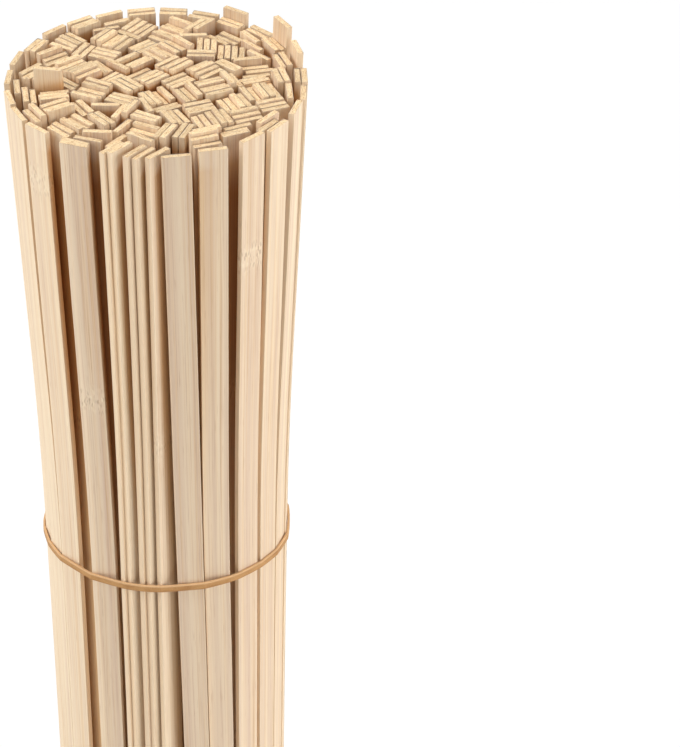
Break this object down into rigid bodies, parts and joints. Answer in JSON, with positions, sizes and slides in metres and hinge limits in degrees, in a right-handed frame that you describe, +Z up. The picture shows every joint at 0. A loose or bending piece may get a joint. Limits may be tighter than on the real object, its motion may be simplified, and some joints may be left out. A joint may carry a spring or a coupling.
{
  "type": "bundle of flat bamboo strips",
  "caption": "Round upright bundle of flat bamboo strips, held at mid length by a flat rubber band, with loose jumbled ends that spread a little towards the top.",
  "frame": {"origin": "on the table, under the middle of the bundle's outline", "axes": "+Z up along the strips, -Y towards the viewer of the picture, +X to the viewer's right"},
  "size_m": [0.106, 0.1064, 0.4082],
  "materials": {
    "bamboo": "planed, unvarnished, pale straw colour",
    "band": "matte tan rubber"
  },
  "bodies": {
    "root": {"back_strips_01": "bamboo", "back_strips_02": "bamboo", "back_strips_03": "bamboo", "back_strips_04": "bamboo", "back_strips_05": "bamboo", "back_strips_06": "bamboo", "back_strips_07": "bamboo", "front_strip_01": "bamboo", "front_strip_02": "bamboo", "front_strip_03": "bamboo", "front_strip_04": "bamboo", "front_strip_05": "bamboo", "front_strip_06": "bamboo", "front_strip_07": "bamboo", "front_strip_08": "bamboo", "front_strip_09": "bamboo", "front_strip_10": "bamboo", "front_strip_11": "bamboo", "front_strip_12": "bamboo", "front_strip_13": "bamboo", "front_strip_14": "bamboo", "front_strip_15": "bamboo", "front_strip_16": "bamboo", "inner_strips_01": "bamboo", "inner_strips_02": "bamboo", "inner_strips_03": "bamboo", "inner_strips_04": "bamboo", "middle_strips_01": "bamboo", "middle_strips_02": "bamboo", "middle_strips_03": "bamboo", "middle_strips_04": "bamboo", "middle_strips_05": "bamboo", "middle_strips_06": "bamboo", "middle_strips_07": "bamboo", "middle_strips_08": "bamboo", "middle_strips_09": "bamboo", "middle_strips_10": "bamboo", "outer_strips_01": "bamboo", "outer_strips_02": "bamboo", "outer_strips_03": "bamboo", "outer_strips_04": "bamboo", "outer_strips_05": "bamboo", "outer_strips_06": "bamboo", "outer_strips_07": "bamboo", "outer_strips_08": "bamboo", "outer_strips_09": "bamboo", "outer_strips_10": "bamboo", "outer_strips_11": "bamboo", "outer_strips_12": "bamboo", "outer_strips_13": "bamboo", "outer_strips_14": "bamboo", "outer_strips_15": "bamboo", "rubber_band": "band"}
  },
  "joints": []
}
